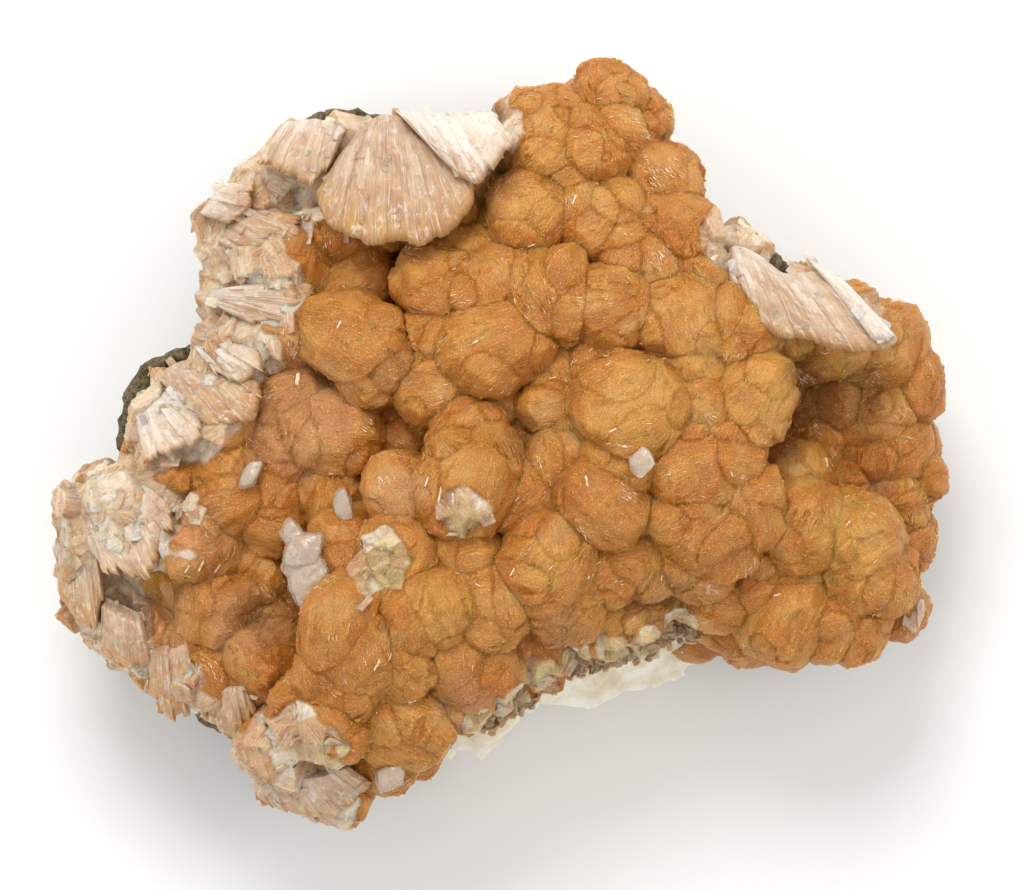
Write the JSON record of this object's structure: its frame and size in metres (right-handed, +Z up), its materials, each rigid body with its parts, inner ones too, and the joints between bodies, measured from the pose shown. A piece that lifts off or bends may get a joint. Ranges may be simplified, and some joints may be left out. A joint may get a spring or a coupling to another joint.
{
  "type": "stilbite with calcite mineral specimen",
  "caption": "Hand-sized mineral specimen: a crust of amber stilbite sheaves and torn cream fans on dark basalt, with a white calcite seam and small perched calcite crystals.",
  "frame": {"origin": "middle of the flat trimmed back of the basalt, which is the face that the specimen lies on", "axes": "+Z up out of the crystal side, +X along the specimen's length, +Y towards the top edge of the crystal side as it is pictured"},
  "size_m": [0.1199, 0.102, 0.0517],
  "materials": {
    "basalt": "rough, granular broken rock",
    "calcite": "white, translucent, glassy on cleavage faces and frosted elsewhere",
    "stilbite": "translucent amber, satin to pearly, with fine blade tips"
  },
  "bodies": {
    "root": {"stilbite_crust": "stilbite", "basalt_matrix": "basalt", "calcite_seam": "calcite", "calcite_crystal_group": "calcite", "calcite_crystal_upper": "calcite", "calcite_crystal_left": "calcite", "calcite_crystal_middle": "calcite", "calcite_crystal_lower": "calcite", "calcite_crystal_foot": "calcite"}
  },
  "joints": []
}
